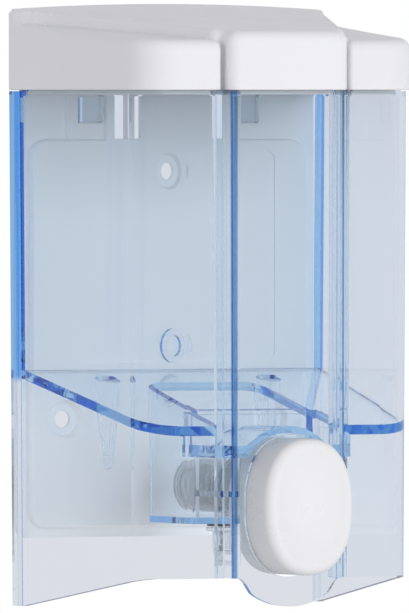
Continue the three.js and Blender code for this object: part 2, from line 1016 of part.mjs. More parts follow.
// ---------------------------------------------------------------- lid
{
  const wingTop = (d, drop = 0) => WING_TOP_REAR - WING_TOP_SLOPE * d - drop;
  const crestTop = (d, drop = 0) => CREST_REAR - CREST_SLOPE * d - drop;
  const under = (top, low, drop, rear = -2) =>
    across(
      [
        [rear, low],
        [90, low],
        [90, top(90, drop)],
        [rear, top(rear, drop)],
      ],
      -60,
      60,
    );
  const crestPlan = (inset, rear) => {
    const half = (d) => CREST_HALF_REAR - CREST_TAPER * d - inset;
    return both([
      [half(rear), rear],
      [half(LID_COLUMN_FRONT - 0.2), LID_COLUMN_FRONT + 2],
    ]);
  };
  const outline = upright(plan(LID_PLAN, 0, LID_REAR), 0, 40);
  let lid = outline.intersect(under(wingTop, -1, 0));
  lid = lid.add(
    outline
      .intersect(upright(crestPlan(0, LID_REAR), 0, 40))
      .intersect(under(crestTop, -1, 0)),
  );
  // hollow underside
  const inner = upright(plan(LID_PLAN, LID_WALL, LID_REAR + LID_WALL), -2, 40);
  lid = lid.subtract(inner.intersect(under(wingTop, -3, LID_WALL)));
  lid = lid.subtract(
    inner
      .intersect(upright(crestPlan(LID_WALL + 1.4, LID_REAR), -2, 40))
      .intersect(under(crestTop, -3, LID_WALL)),
  );
  // the back is open below LID_BACK_EDGE, where the back plate stands
  lid = lid.subtract(
    upright(plan(LID_PLAN, LID_WALL, -2), -2, LID_BACK_EDGE).intersect(
      block(-60, 60, -3, LID_REAR + LID_WALL + 1, -2, LID_BACK_EDGE),
    ),
  );
  // inner lip that enters the tank mouth
  const lip = upright(
    plan(TANK_PLAN, WALL + 0.4, BACK_WALL_REAR + BACK_WALL + 0.4),
    LID_LIP_DOWN,
    30,
  )
    .subtract(
      upright(
        plan(TANK_PLAN, WALL + 1.7, BACK_WALL_REAR + BACK_WALL + 1.7),
        LID_LIP_DOWN - 1,
        31,
      ),
    )
    .intersect(under(wingTop, LID_LIP_DOWN - 1, LID_WALL / 2));
  lid = lid.add(lip);
  piece("lid", lid, WHITE, lidGroup);
}

export default dispenser;
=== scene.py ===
import math

import bmesh
import bpy
import numpy as np
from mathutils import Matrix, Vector
from mathutils.geometry import delaunay_2d_cdt


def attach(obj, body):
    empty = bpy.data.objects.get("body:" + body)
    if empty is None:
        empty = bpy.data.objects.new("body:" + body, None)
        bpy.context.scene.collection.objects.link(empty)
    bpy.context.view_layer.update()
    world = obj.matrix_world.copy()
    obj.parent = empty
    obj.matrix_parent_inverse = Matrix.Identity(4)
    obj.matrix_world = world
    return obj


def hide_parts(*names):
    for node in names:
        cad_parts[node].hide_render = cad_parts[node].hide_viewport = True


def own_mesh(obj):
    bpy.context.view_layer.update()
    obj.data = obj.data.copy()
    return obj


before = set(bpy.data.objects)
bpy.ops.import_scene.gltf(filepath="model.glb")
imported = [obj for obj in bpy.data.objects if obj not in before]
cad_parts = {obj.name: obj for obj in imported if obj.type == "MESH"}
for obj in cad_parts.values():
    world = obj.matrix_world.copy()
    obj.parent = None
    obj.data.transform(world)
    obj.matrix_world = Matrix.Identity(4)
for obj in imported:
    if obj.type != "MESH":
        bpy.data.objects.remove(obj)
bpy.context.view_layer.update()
MM = 0.001
# painted blue glow for the edges of the tank's rear flanges, standing in for light carried along the slab
FLANGE_PAINTED_GLOW = (0.10, 0.42, 0.97)

# ------------------------------------------------------------------ sizes, in millimetres
# x across, d out from the wall, z from the seam between lid and tank
SEAM = 62.0
SLOPE = 0.09
SIDE, CORNER, FRONT = 47.2, 14.0, 70.1
COL, COL_FRONT = 17.2, 73.3
GROOVE, GROOVE_FLOOR = 18.2, 67.1
WALL = 1.7
RIM_WALL = 2.5
BACK_REAR, BACK_FRONT = 3.5, 5.4
FLANGE, FLANGE_FRONT, FLANGE_REAR = 47.9, 4.3, 0.5
BAY = 45.3
DRAFT = 1.0 / 47.2 / 140.0


def floor_top(d):
    return -74.75 - 0.227 * d


# ------------------------------------------------------------------ 2D outlines
def fillet(points, radii, step=0.6, least=3):
    """A closed outline with each corner rounded to its radius."""
    out = []
    n = len(points)
    for i in range(n):
        p = np.array(points[i], float)
        a = np.array(points[i - 1], float)
        b = np.array(points[(i + 1) % n], float)
        r = radii[i]
        u, v = a - p, b - p
        lu, lv = np.linalg.norm(u), np.linalg.norm(v)
        u, v = u / lu, v / lv
        c = float(np.clip(u @ v, -1, 1))
        half = math.acos(c) / 2
        if r <= 0 or half > math.pi / 2 - 1e-4:
            out.append(tuple(p))
            continue
        t = min(r / math.tan(half), 0.49 * lu, 0.49 * lv)
        r = t * math.tan(half)
        centre = p + (u + v) / np.linalg.norm(u + v) * r / math.sin(half)
        s, e = p + u * t - centre, p + v * t - centre
        a0, a1 = math.atan2(s[1], s[0]), math.atan2(e[1], e[0])
        da = (a1 - a0 + math.pi) % (2 * math.pi) - math.pi
        k = max(least, int(math.ceil(abs(da) * r / step)), int(abs(da) / 0.2))
        for j in range(k + 1):
            q = a0 + da * j / k
            out.append((centre[0] + r * math.cos(q), centre[1] + r * math.sin(q)))
    return out


def mirror(points, radii):
    """A right half, from the wall to the front, as a whole outline."""
    return (
        points + [(-x, d) for x, d in reversed(points)],
        radii + list(reversed(radii)),
    )


def plan(p, inset, rear, radii, step=0.6):
    """Outline of the tank or lid in plan. radii are those of the corner, wing end, groove, groove and column edge."""
    k = math.hypot(1, SLOPE)
    side = p["side"] - inset * k
    front = p["front"] - inset
    pts = [
        (side - SLOPE * rear, rear),
        (side - SLOPE * front, front),
        (p["groove"] + inset, front),
        (p["groove"] + inset, p["floor"] - inset),
        (p["column"] - inset, p["floor"] - inset),
        (p["column"] - inset, p["col_front"] - inset),
    ]
    return fillet(*mirror(pts, [0] + list(radii)), step=step)


TANK = dict(side=SIDE, front=FRONT, groove=GROOVE, floor=GROOVE_FLOOR, column=COL, col_front=COL_FRONT)
LID = dict(side=48.0, front=70.9, groove=19.3, floor=67.9, column=18.0, col_front=74.1)


def split(points, most):
    """The outline with no stretch longer than most."""
    out = []
    for i, p in enumerate(points):
        q = points[(i + 1) % len(points)]
        out.append(p)
        k = int(math.hypot(q[0] - p[0], q[1] - p[1]) // most)
        for j in range(1, k + 1):
            t = j / (k + 1)
            out.append((p[0] + (q[0] - p[0]) * t, p[1] + (q[1] - p[1]) * t))
    return out


def oval(w, h, z, n=96, power=2.3):
    out = []
    for i in range(n):
        a = 2 * math.pi * i / n
        c, s = math.cos(a), math.sin(a)
        out.append((w * math.copysign(abs(c) ** (2 / power), c), z + h * math.copysign(abs(s) ** (2 / power), s)))
    return out


def circle(r, z=0.0, n=48, x=0.0):
    return [(x + r * math.cos(2 * math.pi * i / n), z + r * math.sin(2 * math.pi * i / n)) for i in range(n)]


# ------------------------------------------------------------------ solids
def new_object(name, mesh):
    o = bpy.data.objects.new(name, mesh)
    bpy.context.scene.collection.objects.link(o)
    return o


def mesh_of(verts, faces, name="solid"):
    me = bpy.data.meshes.new(name)
    me.from_pydata([tuple(v) for v in verts], [], [tuple(f) for f in faces])
    bm = bmesh.new()
    bm.from_mesh(me)
    bmesh.ops.remove_doubles(bm, verts=bm.verts, dist=1e-8)
    bmesh.ops.recalc_face_normals(bm, faces=bm.faces)
    if bm.calc_volume(signed=True) < 0:
        bmesh.ops.reverse_faces(bm, faces=bm.faces)
    bm.to_mesh(me)
    bm.free()
    return me


def prism(outline, lo, hi, place):
    """A closed prism over a 2D outline. place gives a point in metres from (u, v, w)."""
    n = len(outline)
    verts = [place(u, v, lo) for u, v in outline] + [place(u, v, hi) for u, v in outline]
    faces = [tuple(range(n)), tuple(range(2 * n - 1, n - 1, -1))]
    faces += [(i, (i + 1) % n, n + (i + 1) % n, n + i) for i in range(n)]
    return new_object("prism", mesh_of(verts, faces))


def at(x, d, z):
    return (x * MM, -d * MM, (SEAM + z) * MM)


def upright(outline, lo, hi):
    return prism(outline, lo, hi, lambda u, v, w: at(u, v, w))


def inward(outline, near, far):
    return prism(outline, near, far, lambda u, v, w: at(u, w, v))


def across(outline, left, right):
    return prism(outline, left, right, lambda u, v, w: at(w, u, v))


def block(x0, x1, d0, d1, z0, z1):
    return upright([(x0, d0), (x1, d0), (x1, d1), (x0, d1)], z0, z1)


def revolve(profile, place, n=64):
    """A body of revolution. profile is [(radius, along)], closed on itself or on the axis."""
    on_axis = profile[0][0] < 1e-9
    prof = list(profile)
    if not on_axis and prof[0] == prof[-1]:
        prof = prof[:-1]
    verts, ids = [], []
    for r, a in prof:
        if r < 1e-9:
            verts.append(place(0, 0, a))
            ids.append([len(verts) - 1] * n)
        else:
            row = []
            for i in range(n):
                t = 2 * math.pi * i / n
                verts.append(place(r * math.cos(t), r * math.sin(t), a))
                row.append(len(verts) - 1)
            ids.append(row)
    faces = []
    m = len(prof)
    for j in range(m if not on_axis else m - 1):
        a, b = ids[j], ids[(j + 1) % m]
        for i in range(n):
            f = [a[i], a[(i + 1) % n], b[(i + 1) % n], b[i]]
            f = [v for k, v in enumerate(f) if v not in f[:k]]
            if len(f) > 2:
                faces.append(f)
    return new_object("lathe", mesh_of(verts, faces))


def rounded_profile(points, r=0.25, closed=True):
    """A profile whose corners are eased by r. An open one starts and ends on the axis, and keeps its end points."""
    n = len(points)
    if closed:
        pts = points[:-1] if points[0] == points[-1] else points
        out = fillet(pts, [r] * len(pts), step=r * 0.5, least=2)
        return out + [out[0]]
    whole = fillet(points, [0] + [r] * (n - 2) + [0], step=r * 0.5, least=2)
    return whole


PUMP_Z = -107.2


def turned(profile, z=PUMP_Z, x=0.0, n=64):
    return revolve(profile, lambda a, b, w: at(x + a, w, z + b), n)


def spun(profile, x, d, n=64):
    return revolve(profile, lambda a, b, w: at(x + a, d + b, w), n)


def box_ring(r0, r1, a, b):
    return [(r0, a), (r1, a), (r1, b), (r0, b), (r0, a)]


def combine(target, other, operation):
    m = target.modifiers.new("cut", "BOOLEAN")
    m.operation = operation
    m.solver = "EXACT"
    m.object = other
    graph = bpy.context.evaluated_depsgraph_get()
    me = bpy.data.meshes.new_from_object(target.evaluated_get(graph))
    target.modifiers.clear()
    old = target.data
    target.data = me
    bpy.data.meshes.remove(old)
    dead = other.data
    bpy.data.objects.remove(other)
    bpy.data.meshes.remove(dead)
    return target


def add(a, b):
    return combine(a, b, "UNION")


def cut(a, b):
    return combine(a, b, "DIFFERENCE")


def common(a, b):
    return combine(a, b, "INTERSECT")


def clean(o, dist=0.002):
    """Merges points closer than dist millimetres and dissolves edges between faces in one plane."""
    bm = bmesh.new()
    bm.from_mesh(o.data)
    bmesh.ops.remove_doubles(bm, verts=bm.verts, dist=dist * MM)
    bmesh.ops.dissolve_degenerate(bm, edges=bm.edges, dist=dist * MM)
    bmesh.ops.recalc_face_normals(bm, faces=bm.faces)
    bm.to_mesh(o.data)
    bm.free()
    return o


def bake_modifiers(o):
    graph = bpy.context.evaluated_depsgraph_get()
    me = bpy.data.meshes.new_from_object(o.evaluated_get(graph))
    o.modifiers.clear()
    old = o.data
    o.data = me
    bpy.data.meshes.remove(old)
    return o


def ease(o, width, segments=2, angle=35, limit=None):
    """Rounds the edges of a piece by a small width."""
    m = o.modifiers.new("ease", "BEVEL")
    m.width = width * MM
    m.segments = segments
    m.limit_method = "ANGLE"
    m.angle_limit = math.radians(angle)
    m.miter_outer = "MITER_ARC"
    m.use_clamp_overlap = True
    m.loop_slide = True
    return bake_modifiers(o)


def shade(o, angle=32, weighted=True):
    """Smooth shading that keeps edges sharper than the angle, with flat faces left flat."""
    me = o.data
    me.polygons.foreach_set("use_smooth", [True] * len(me.polygons))
    bm = bmesh.new()
    bm.from_mesh(me)
    limit = math.radians(angle)
    for e in bm.edges:
        e.smooth = not (len(e.link_faces) == 2 and e.calc_face_angle(0.0) > limit)
    bm.to_mesh(me)
    bm.free()
    if weighted:
        m = o.modifiers.new("normals", "WEIGHTED_NORMAL")
        m.mode = "FACE_AREA_WITH_ANGLE"
        m.keep_sharp = True
        m.weight = 60
    return o


def finish_piece(o, name, body, material, replaces=(), angle=32, weighted=True):
    o.name = name
    o.data.name = name
    shade(o, angle, weighted)
    o.data.materials.clear()
    o.data.materials.append(material)
    if replaces:
        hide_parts(*replaces)
    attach(o, body)
    return o


# ------------------------------------------------------------------ materials
def nodes_of(name):
    m = bpy.data.materials.new(name)
    m.use_nodes = True
    t = m.node_tree
    t.nodes.clear()
    out = t.nodes.new("ShaderNodeOutputMaterial")
    return m, t, out


def link(t, a, b):
    t.links.new(a, b)


def noise(t, scale, detail=3.0, rough=0.5, coords=None, distortion=0.0):
    n = t.nodes.new("ShaderNodeTexNoise")
    n.inputs["Scale"].default_value = scale
    n.inputs["Detail"].default_value = detail
    n.inputs["Roughness"].default_value = rough
    n.inputs["Distortion"].default_value = distortion
    if coords is not None:
        link(t, coords, n.inputs["Vector"])
    return n


def ramp(t, source, stops):
    r = t.nodes.new("ShaderNodeValToRGB")
    while len(r.color_ramp.elements) < len(stops):
        r.color_ramp.elements.new(0.5)
    for e, (pos, col) in zip(r.color_ramp.elements, stops):
        e.position = pos
        e.color = (*col, 1) if len(col) == 3 else col
    link(t, source, r.inputs["Fac"])
    return r


def spread(t, source, lo, hi, from_lo=0.3, from_hi=0.7):
    m = t.nodes.new("ShaderNodeMapRange")
    m.inputs["From Min"].default_value = from_lo
    m.inputs["From Max"].default_value = from_hi
    m.inputs["To Min"].default_value = lo
    m.inputs["To Max"].default_value = hi
    link(t, source, m.inputs["Value"])
    return m.outputs["Result"]


def bump(t, source, strength, distance, normal=None):
    b = t.nodes.new("ShaderNodeBump")
    b.inputs["Strength"].default_value = strength
    b.inputs["Distance"].default_value = distance
    link(t, source, b.inputs["Height"])
    if normal is not None:
        link(t, normal, b.inputs["Normal"])
    return b.outputs["Normal"]


def moulded(name, light, dark, rough, rough_span, grain, grain_strength, specular=0.5, subsurface=0.0):
    """Injection moulded opaque plastic: faint colour drift, uneven gloss and a fine spark-eroded grain."""
    m, t, out = nodes_of(name)
    tc = t.nodes.new("ShaderNodeTexCoord")
    p = t.nodes.new("ShaderNodeBsdfPrincipled")
    drift = noise(t, 22.0, 2.0, 0.5, tc.outputs["Object"])
    link(t, ramp(t, drift.outputs["Fac"], [(0.35, dark), (0.65, light)]).outputs["Color"], p.inputs["Base Color"])
    gloss = noise(t, 90.0, 4.0, 0.6, tc.outputs["Object"])
    link(t, spread(t, gloss.outputs["Fac"], rough - rough_span, rough + rough_span), p.inputs["Roughness"])
    fine = noise(t, grain, 2.0, 0.5, tc.outputs["Object"])
    wave = noise(t, 35.0, 2.0, 0.5, tc.outputs["Object"])
    n1 = bump(t, wave.outputs["Fac"], 0.05, 0.0006)
    link(t, bump(t, fine.outputs["Fac"], grain_strength, 0.00004, n1), p.inputs["Normal"])
    p.inputs["Specular IOR Level"].default_value = specular
    p.inputs["IOR"].default_value = 1.52
    if subsurface:
        p.inputs["Subsurface Weight"].default_value = subsurface
        p.inputs["Subsurface Radius"].default_value = (0.0018, 0.0015, 0.0013)
        p.inputs["Subsurface Scale"].default_value = 1.0
    link(t, p.outputs["BSDF"], out.inputs["Surface"])
    return m


def clear_plastic(name, absorb, density, rough=0.012, ior=1.5):
    """Clear moulded plastic, tinted by its own thickness, with faint flow marks, a painted blue glow on its rear
    flanges and painted dark lines along the column's front corners.
    """
    m, t, out = nodes_of(name)
    tc = t.nodes.new("ShaderNodeTexCoord")
    p = t.nodes.new("ShaderNodeBsdfPrincipled")
    p.inputs["Transmission Weight"].default_value = 1.0
    p.inputs["IOR"].default_value = ior
    p.inputs["Roughness"].default_value = rough
    # where the painted glow goes: the rear flange, far out across, close to the wall, and above the floor of the tank;
    # its saturated blue stands in for light carried along the slab
    sep = t.nodes.new("ShaderNodeSeparateXYZ")
    link(t, tc.outputs["Object"], sep.inputs["Vector"])
    wide = t.nodes.new("ShaderNodeMath")
    wide.operation = "ABSOLUTE"
    link(t, sep.outputs["X"], wide.inputs[0])
    far = spread(t, wide.outputs[0], 0.0, 1.0, 0.0451, 0.0455)
    near = spread(t, sep.outputs["Y"], 0.0, 1.0, -0.0046, -0.0044)
    high = spread(t, sep.outputs["Z"], 0.0, 1.0, -0.0175, -0.0155)
    both = t.nodes.new("ShaderNodeMath")
    both.operation = "MULTIPLY"
    link(t, far, both.inputs[0])
    link(t, near, both.inputs[1])
    flange_glow_mask = t.nodes.new("ShaderNodeMath")
    flange_glow_mask.operation = "MULTIPLY"
    link(t, both.outputs[0], flange_glow_mask.inputs[0])
    link(t, high, flange_glow_mask.inputs[1])
    cloud = noise(t, 40.0, 3.0, 0.5, tc.outputs["Object"])
    body = ramp(t, cloud.outputs["Fac"], [(0.3, (0.985, 0.99, 0.997)), (0.7, (0.995, 0.997, 1.0))])
    # painted glow: the base colour turns saturated blue inside the flange mask
    flange_glow_mix = t.nodes.new("ShaderNodeMixRGB")
    flange_glow_mix.inputs["Color2"].default_value = (*FLANGE_PAINTED_GLOW, 1)
    link(t, flange_glow_mask.outputs[0], flange_glow_mix.inputs["Fac"])
    link(t, body.outputs["Color"], flange_glow_mix.inputs["Color1"])
    # painted shade: the column's two front corners, seen along their own length, get a deep blue that stands in for the
    # dark refraction there
    inside = spread(t, wide.outputs[0], 0.0, 1.0, 0.0157, 0.0161)
    ahead = spread(t, sep.outputs["Y"], 1.0, 0.0, -0.0718, -0.0712)
    corner = t.nodes.new("ShaderNodeMath")
    corner.operation = "MULTIPLY"
    link(t, inside, corner.inputs[0])
    link(t, ahead, corner.inputs[1])
    outside = spread(t, wide.outputs[0], 1.0, 0.0, 0.0174, 0.0176)
    edge = t.nodes.new("ShaderNodeMath")
    edge.operation = "MULTIPLY"
    link(t, corner.outputs[0], edge.inputs[0])
    link(t, outside, edge.inputs[1])
    # painted shade: deep blue mixed into the colour on the column's front corners
    corner_painted_dark = t.nodes.new("ShaderNodeMixRGB")
    corner_painted_dark.inputs["Color2"].default_value = (0.05, 0.19, 0.52, 1)
    link(t, edge.outputs[0], corner_painted_dark.inputs["Fac"])
    link(t, flange_glow_mix.outputs["Color"], corner_painted_dark.inputs["Color1"])
    link(t, corner_painted_dark.outputs["Color"], p.inputs["Base Color"])
    stretch = t.nodes.new("ShaderNodeMapping")
    stretch.inputs["Scale"].default_value = (1.0, 1.0, 0.18)
    link(t, tc.outputs["Object"], stretch.inputs["Vector"])
    flow = noise(t, 30.0, 2.0, 0.5, stretch.outputs["Vector"], 0.4)
    link(t, bump(t, flow.outputs["Fac"], 0.008, 0.0003), p.inputs["Normal"])
    see = t.nodes.new("ShaderNodeBsdfTransparent")
    see.inputs["Color"].default_value = (0.995, 0.995, 0.995, 1)
    path = t.nodes.new("ShaderNodeLightPath")
    mix = t.nodes.new("ShaderNodeMixShader")
    link(t, path.outputs["Is Shadow Ray"], mix.inputs["Fac"])
    link(t, p.outputs["BSDF"], mix.inputs[1])
    link(t, see.outputs["BSDF"], mix.inputs[2])
    link(t, mix.outputs["Shader"], out.inputs["Surface"])
    v = t.nodes.new("ShaderNodeVolumeAbsorption")
    v.inputs["Color"].default_value = (*absorb, 1)
    v.inputs["Density"].default_value = density
    link(t, v.outputs["Volume"], out.inputs["Volume"])
    return m


def natural(name, light, dark, transmission=0.55, rough=0.28):
    """Translucent undyed polypropylene."""
    m, t, out = nodes_of(name)
    tc = t.nodes.new("ShaderNodeTexCoord")
    p = t.nodes.new("ShaderNodeBsdfPrincipled")
    drift = noise(t, 60.0, 3.0, 0.5, tc.outputs["Object"])
    link(t, ramp(t, drift.outputs["Fac"], [(0.3, dark), (0.7, light)]).outputs["Color"], p.inputs["Base Color"])
    p.inputs["Transmission Weight"].default_value = transmission
    p.inputs["IOR"].default_value = 1.49
    gloss = noise(t, 160.0, 3.0, 0.6, tc.outputs["Object"])
    link(t, spread(t, gloss.outputs["Fac"], rough - 0.06, rough + 0.08), p.inputs["Roughness"])
    fine = noise(t, 900.0, 2.0, 0.5, tc.outputs["Object"])
    link(t, bump(t, fine.outputs["Fac"], 0.15, 0.00005), p.inputs["Normal"])
    link(t, p.outputs["BSDF"], out.inputs["Surface"])
    return m


def rubber(name):
    m, t, out = nodes_of(name)
    tc = t.nodes.new("ShaderNodeTexCoord")
    p = t.nodes.new("ShaderNodeBsdfPrincipled")
    drift = noise(t, 150.0, 4.0, 0.6, tc.outputs["Object"])
    link(t, ramp(t, drift.outputs["Fac"], [(0.3, (0.018, 0.019, 0.021)), (0.7, (0.035, 0.036, 0.04))]).outputs["Color"], p.inputs["Base Color"])
    link(t, spread(t, drift.outputs["Fac"], 0.5, 0.72), p.inputs["Roughness"])
    fine = noise(t, 1800.0, 3.0, 0.6, tc.outputs["Object"])
    link(t, bump(t, fine.outputs["Fac"], 0.3, 0.00004), p.inputs["Normal"])
    link(t, p.outputs["BSDF"], out.inputs["Surface"])
    return m


def steel(name, light, dark, rough):
    """Drawn or polished steel with fine streaks."""
    m, t, out = nodes_of(name)
    tc = t.nodes.new("ShaderNodeTexCoord")
    p = t.nodes.new("ShaderNodeBsdfPrincipled")
    p.inputs["Metallic"].default_value = 1.0
    streak = t.nodes.new("ShaderNodeMapping")
    streak.inputs["Scale"].default_value = (1.0, 6.0, 1.0)
    link(t, tc.outputs["Object"], streak.inputs["Vector"])
    grain = noise(t, 700.0, 3.0, 0.6, streak.outputs["Vector"])
    link(t, ramp(t, grain.outputs["Fac"], [(0.3, dark), (0.7, light)]).outputs["Color"], p.inputs["Base Color"])
    link(t, spread(t, grain.outputs["Fac"], rough - 0.08, rough + 0.1), p.inputs["Roughness"])
    link(t, bump(t, grain.outputs["Fac"], 0.12, 0.00003), p.inputs["Normal"])
    link(t, p.outputs["BSDF"], out.inputs["Surface"])
    return m


WHITE = moulded("lid_white", (0.765, 0.765, 0.78), (0.745, 0.745, 0.76), 0.34, 0.05, 1500.0, 0.10)
BUTTON_WHITE = moulded("button_white", (0.76, 0.76, 0.77), (0.74, 0.74, 0.75), 0.30, 0.05, 1500.0, 0.08)
# the wall plate's white is lighter than the lid's: a painted lift that stands in for the light it loses behind the
# clear tank
PLATE_LIGHTENED = moulded("plate_white_painted_lighter", (0.93, 0.93, 0.935), (0.905, 0.905, 0.91), 0.42, 0.06, 1200.0, 0.16)
CLEAR = clear_plastic("clear_blue_san", (0.125, 0.57, 0.9), 38.0)
NATURAL = natural("natural_pp", (0.95, 0.965, 0.98), (0.91, 0.93, 0.95), 0.93, 0.12)
SILICONE = natural("pale_silicone", (0.90, 0.92, 0.94), (0.84, 0.86, 0.89), 0.75, 0.3)
SMALL_WHITE = moulded("small_white", (0.82, 0.82, 0.83), (0.77, 0.77, 0.78), 0.40, 0.06, 1600.0, 0.15)
RUBBER = rubber("nitrile_rubber")
BALL = steel("ball_steel", (0.80, 0.80, 0.81), (0.66, 0.66, 0.68), 0.16)
WIRE = steel("spring_wire", (0.62, 0.62, 0.63), (0.42, 0.42, 0.44), 0.30)

# ------------------------------------------------------------------ tank
SOAP_RADII = (11.5, 0.6, 0.8, 0.5, 1.0)


def cavity(inset, rear, lo, hi, radii=SOAP_RADII):
    return upright(plan(TANK, inset, rear, radii), lo, hi)


def tank():
    low = -145.0
    pts = [
        (FLANGE, FLANGE_REAR),
        (FLANGE, FLANGE_FRONT),
        (SIDE - SLOPE * FLANGE_FRONT, FLANGE_FRONT),
        (SIDE - SLOPE * FRONT, FRONT),
        (GROOVE, FRONT),
        (GROOVE, GROOVE_FLOOR),
        (COL, GROOVE_FLOOR),
        (COL, COL_FRONT),
    ]
    body = upright(fillet(*mirror(pts, [0.3, 0.3, 0.3, CORNER, 0.8, 0.3, 0.3, 1.5])), low, -0.3)
    # stepped rim inside the lid
    rim = dict(TANK, groove=19.95)
    body = add(body, upright(plan(rim, 1.65, BACK_REAR + 0.3, (12.3, 0.3, 0.3, 0.3, 0.8)), -2, 3.0))
    body = cut(body, block(-BAY, BAY, -2, BACK_REAR, low - 1, 10))
    soap = cavity(WALL, BACK_FRONT, -120, -1.6)
    soap = common(soap, across([(-5, floor_top(-5)), (90, floor_top(90)), (90, 30), (-5, 30)], -60, 60))
    body = cut(body, soap)
    body = cut(body, cavity(RIM_WALL, 6.0, -3, 20, (10.7, 0.6, 0.8, 0.5, 0.8)))
    under = cavity(WALL, -2, low - 1, 0)
    slab = 2.6
    under = common(under, across([(-5, floor_top(-5) - slab), (90, floor_top(90) - slab), (90, low - 2), (-5, low - 2)], -60, 60))
    body = cut(body, under)
    # lower floor beside the button housing
    step = block(-20.9, 20.9, 50.6, 72, -98.8, floor_top(60))
    step = common(step, across([(0, floor_top(0) - 0.2), (80, floor_top(80) - 0.2), (80, -130), (0, -130)], -30, 30))
    body = add(body, common(step, cavity(WALL - 0.5, -2, -130, 0)))
    pocket = block(-19.4, 19.4, 50.0, 71, -95.6, -60)
    body = cut(body, common(pocket, cavity(WALL + 0.03, 51.6, -95.6, -60)))
    # pump well
    outer = [(-18.4, 18.7), (18.4, 18.7), (18.4, 52.0), (-18.4, 52.0)]
    radii = [6.0, 6.0, 1.0, 1.0]
    well = upright(fillet(outer, radii), -117.0, -70)
    well = common(well, across([(0, floor_top(0) - 1), (80, floor_top(80) - 1), (80, -130), (0, -130)], -30, 30))
    body = add(body, well)
    inner = [(-16.9, 20.2), (16.9, 20.2), (16.9, 50.0), (-16.9, 50.0)]
    body = cut(body, upright(fillet(inner, [4.5, 4.5, 0.6, 0.6]), -115.3, -60))

    # arch over the button
    def arch(r, d0, d1, n=40):
        pts = [(r * math.cos(math.pi * i / n), -107.1 + r * math.sin(math.pi * i / n)) for i in range(n + 1)]
        return inward(pts + [(-r, -131.0), (r, -131.0)], d0, d1)

    vault = common(arch(16.8, 50.5, 71.5), block(-25, 25, 0, 80, -98.4, -60))
    body = add(body, common(vault, cavity(WALL - 0.5, -2, -140, 10)))
    # a rib on each side of the arch
    for s in (-1, 1):
        a, b = sorted((s * 14.99, s * 18.2))
        body = add(body, block(a, b, 51.5, 71.8, -109.4, -107.8))
    body = cut(body, arch(14.95, 52.05, 71.4))
    body = cut(body, inward(oval(13.75, 18.95, -111.9), 66, 80))
    body = cut(body, turned([(0, 47), (7.5, 47), (7.5, 55), (0, 55)], n=64))
    body = cut(body, spun([(0, -119), (2.4, -119), (2.4, -113), (0, -113)], 0, 33.3, n=40))
    # lower edge and apron
    edge = [(-5, -139.9), (4.5, -139.9), (57, -132.3), (66, -131.2), (90, -131.2), (90, -148), (-5, -148)]
    body = cut(body, across(edge, -60, -15.9))
    body = cut(body, across(edge, 15.9, 60))
    r = 21.8
    apron = [(-16.5, -148), (-16.5, -131.2)]
    for i in range(33):
        x = -15.9 + 31.8 * i / 32
        z = -138.9 + r - math.sqrt(r * r - x * x)
        t = max(0.0, (abs(x) - 11.5) / 4.4)
        z += (-131.2 - z) * t * t * (3 - 2 * t)
        apron.append((x, z))
    apron += [(16.5, -131.2), (16.5, -148)]
    body = cut(body, inward(apron, -5, 90))
    # hooks and tapered bosses
    for s in (-1, 1):
        a, b = sorted((s * 20.2, s * 26.4))
        hook = [(4.0, -2.0), (0.5, -2.0), (0.5, -12.0), (1.55, -12.0), (1.55, -8.7), (4.0, -8.7)]
        body = add(body, across(hook, a, b))
        top = floor_top(14) - 1.2
        boss = [(0, top), (3.6, top), (3.3, -84), (1.5, -101.6), (0.9, -102.6), (0, -103)]
        body = add(body, spun(boss, s * 24.3, 14, n=40))
        core = [(0, -99.2), (0.35, -99.0), (0.6, -98.4), (2.1, -84), (2.6, floor_top(14) - 1.5), (3.1, floor_top(14) + 3), (0, floor_top(14) + 3)]
        body = cut(body, spun(core, s * 24.3, 14, n=40))
    body = add(body, turned(rounded_profile(box_ring(2.9, 4.7, 4.6, 7.2), 0.4), z=-69.6, n=64))
    clean(body, 0.004)
    # draft: the sides close in a little towards the bottom
    for v in body.data.vertices:
        h = SEAM - v.co.z / MM
        if h > 0:
            v.co.x *= 1 - DRAFT * h
    # the bay for the plate keeps its width, so the tank can lift past the plate
    for s in (-1, 1):
        a, b = sorted((s * 43.0, s * 44.95))
        body = cut(body, block(a, b, -2, 3.4, low - 1, 10))
    return clean(body, 0.003)


body = tank()
finish_piece(body, "clear_tank", "tank", CLEAR, ("tank_body",), angle=28)

# ------------------------------------------------------------------ lid


def wing_top(d):
    return 18.4 - 0.07 * d


def crest_top(x, d):
    return 23.5 - 0.104 * d - 1.5 * (x / 47.8) ** 2


def crest_side(x, d):
    """Distance in from the side line of the raised wedge."""
    k = math.hypot(1, 0.4095)
    return ((47.8 - 0.4095 * d) - abs(x)) / k


def smooth(t):
    t = min(max(t, 0.0), 1.0)
    return t * t * t * (t * (6 * t - 15) + 10)


def lid_height(x, d):
    width = 1.5 + 0.014 * d
    t = smooth((crest_side(x, d) + 1.6 * max(0.0, 1 - d / 14)) / width + 0.35)
    if abs(x) < 18.6 and d > 66:
        t = 1.0
    return wing_top(d) + (crest_top(x, d) - wing_top(d)) * t


def near_line(points, xs, ds):
    """Distance from each point to a chain of segments."""
    a = np.array(points[:-1])
    b = np.array(points[1:])
    p = np.stack([xs, ds], 1)
    ab = b - a
    ll = (ab**2).sum(1)
    best = np.full(len(p), 1e9)
    for i in range(len(a)):
        t = np.clip(((p - a[i]) @ ab[i]) / max(ll[i], 1e-12), 0, 1)
        q = a[i] + t[:, None] * ab[i]
        best = np.minimum(best, np.hypot(*(p - q).T))
    return best


def inside(points, xs, ds):
    """Which points lie in the outline."""
    n = len(points)
    res = np.zeros(len(xs), bool)
    for i in range(n):
        x0, y0 = points[i]
        x1, y1 = points[(i + 1) % n]
        if y0 == y1:
            continue
        hit = (ds > min(y0, y1)) & (ds <= max(y0, y1))
        x = x0 + (ds - y0) * (x1 - x0) / (y1 - y0)
        res ^= hit & (xs < x)
    return res


